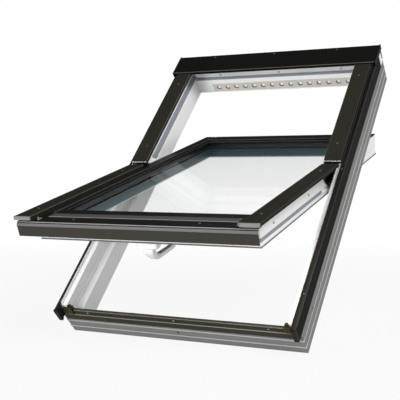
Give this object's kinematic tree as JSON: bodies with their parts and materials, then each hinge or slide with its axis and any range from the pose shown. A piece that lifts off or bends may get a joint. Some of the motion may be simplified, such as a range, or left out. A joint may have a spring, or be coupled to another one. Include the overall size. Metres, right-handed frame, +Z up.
{
  "type": "roof skylight",
  "caption": "Centre-pivot roof skylight: white plastic frame and glazed sash under dark metal cladding, turning on half-moon friction hinges, shown tilted open at roof pitch.",
  "frame": {"origin": "middle of the sill skirt's outer face, halfway between its two ribs", "axes": "+X across the window to the right as seen from outside, +Y level toward the ridge, +Z up; the roof plane rises toward +Y at 45 degrees"},
  "size_m": [0.786, 1.1851, 0.9468],
  "materials": {
    "white_pvc": "smooth satin white",
    "grey_board": "matte mid grey",
    "dark_cladding": "satin dark grey-brown coil coating",
    "hood_metal": "satin dark coil coating",
    "hood_end": "matte black",
    "sill_metal": "satin dark brown coil coating",
    "brown_plug": "matte brown",
    "cap_metal": "satin dark coil coating",
    "fascia_metal": "satin dark grey coil coating",
    "end_plastic": "matte light grey",
    "glass": "clear with a slight green tint",
    "spacer_bar": "satin dark grey",
    "black_tape": "matte black",
    "grey_seal": "matte grey",
    "dark_seal": "matte dark grey",
    "vent_plastic": "matte warm light grey",
    "hinge_brown": "satin brown passivated steel",
    "steel": "satin zinc",
    "handle_white": "glossy white"
  },
  "bodies": {
    "frame": {"frame_sill": "white_pvc", "frame_head": "white_pvc", "frame_jamb_left": "white_pvc", "frame_jamb_right": "white_pvc", "skirt_sill": "grey_board", "skirt_head": "grey_board", "skirt_left": "grey_board", "skirt_right": "grey_board", "jamb_cladding_left": "dark_cladding", "jamb_cladding_right": "dark_cladding", "cladding_plug_left": "brown_plug", "cladding_plug_right": "brown_plug", "sill_cladding": "sill_metal", "corner_plugs": "brown_plug", "frame_stop_left": "white_pvc", "frame_stop_right": "white_pvc", "upper_cover_left": "dark_cladding", "upper_cover_right": "dark_cladding", "hood": "hood_metal", "hood_brackets": "white_pvc", "hood_plate_left": "hood_end", "hood_plate_right": "hood_end", "cover_split_ends": "steel", "frame_seal": "grey_seal", "vent_grille": "vent_plastic", "frame_hinge_left": "hinge_brown", "frame_hinge_right": "hinge_brown", "lock_keeps": "steel", "frame_screws": "steel", "head_screws": "steel"},
    "sash": {"sash_lower_rail": "white_pvc", "sash_upper_rail": "white_pvc", "sash_stile_left": "white_pvc", "sash_stile_right": "white_pvc", "pane_outer": "glass", "pane_inner": "glass", "spacer": "spacer_bar", "glazing_tape": "black_tape", "glazing_cap_left": "cap_metal", "glazing_cap_right": "cap_metal", "glazing_cap_upper": "cap_metal", "glazing_cap_lower": "cap_metal", "sash_stop_left": "white_pvc", "sash_stop_right": "white_pvc", "sash_cover_left": "dark_cladding", "sash_cover_right": "dark_cladding", "cover_end_left": "end_plastic", "cover_end_right": "end_plastic", "fascia": "fascia_metal", "corner_clips": "end_plastic", "sash_seal": "grey_seal", "sash_edge_seal": "dark_seal", "sash_hinge_left": "hinge_brown", "sash_hinge_right": "hinge_brown", "handle_plate": "handle_white", "sash_screws": "steel"},
    "handle": {"handle": "handle_white"},
    "lock_rod": {"lock_rod": "steel"}
  },
  "joints": [
    {"name": "sash_pivot", "type": "hinge", "parent": "frame", "child": "sash", "pos_m": [0, 0.34259, 0.51866], "axis": [1, 0, 0], "range_deg": [-78.3, 31.7]},
    {"name": "handle_turn", "type": "hinge", "parent": "sash", "child": "handle", "pos_m": [0, -0.1825, 0.28397], "axis": [0, 0.23, -0.9732], "range_deg": [0, 90]},
    {"name": "lock_slide", "type": "slide", "parent": "sash", "child": "lock_rod", "axis": [1, 0, 0], "range_m": [0, 0.018]}
  ],
  "couplings": [
    {"joint": "lock_slide", "follows": "handle_turn", "m_per_rad": 0.011459}
  ]
}
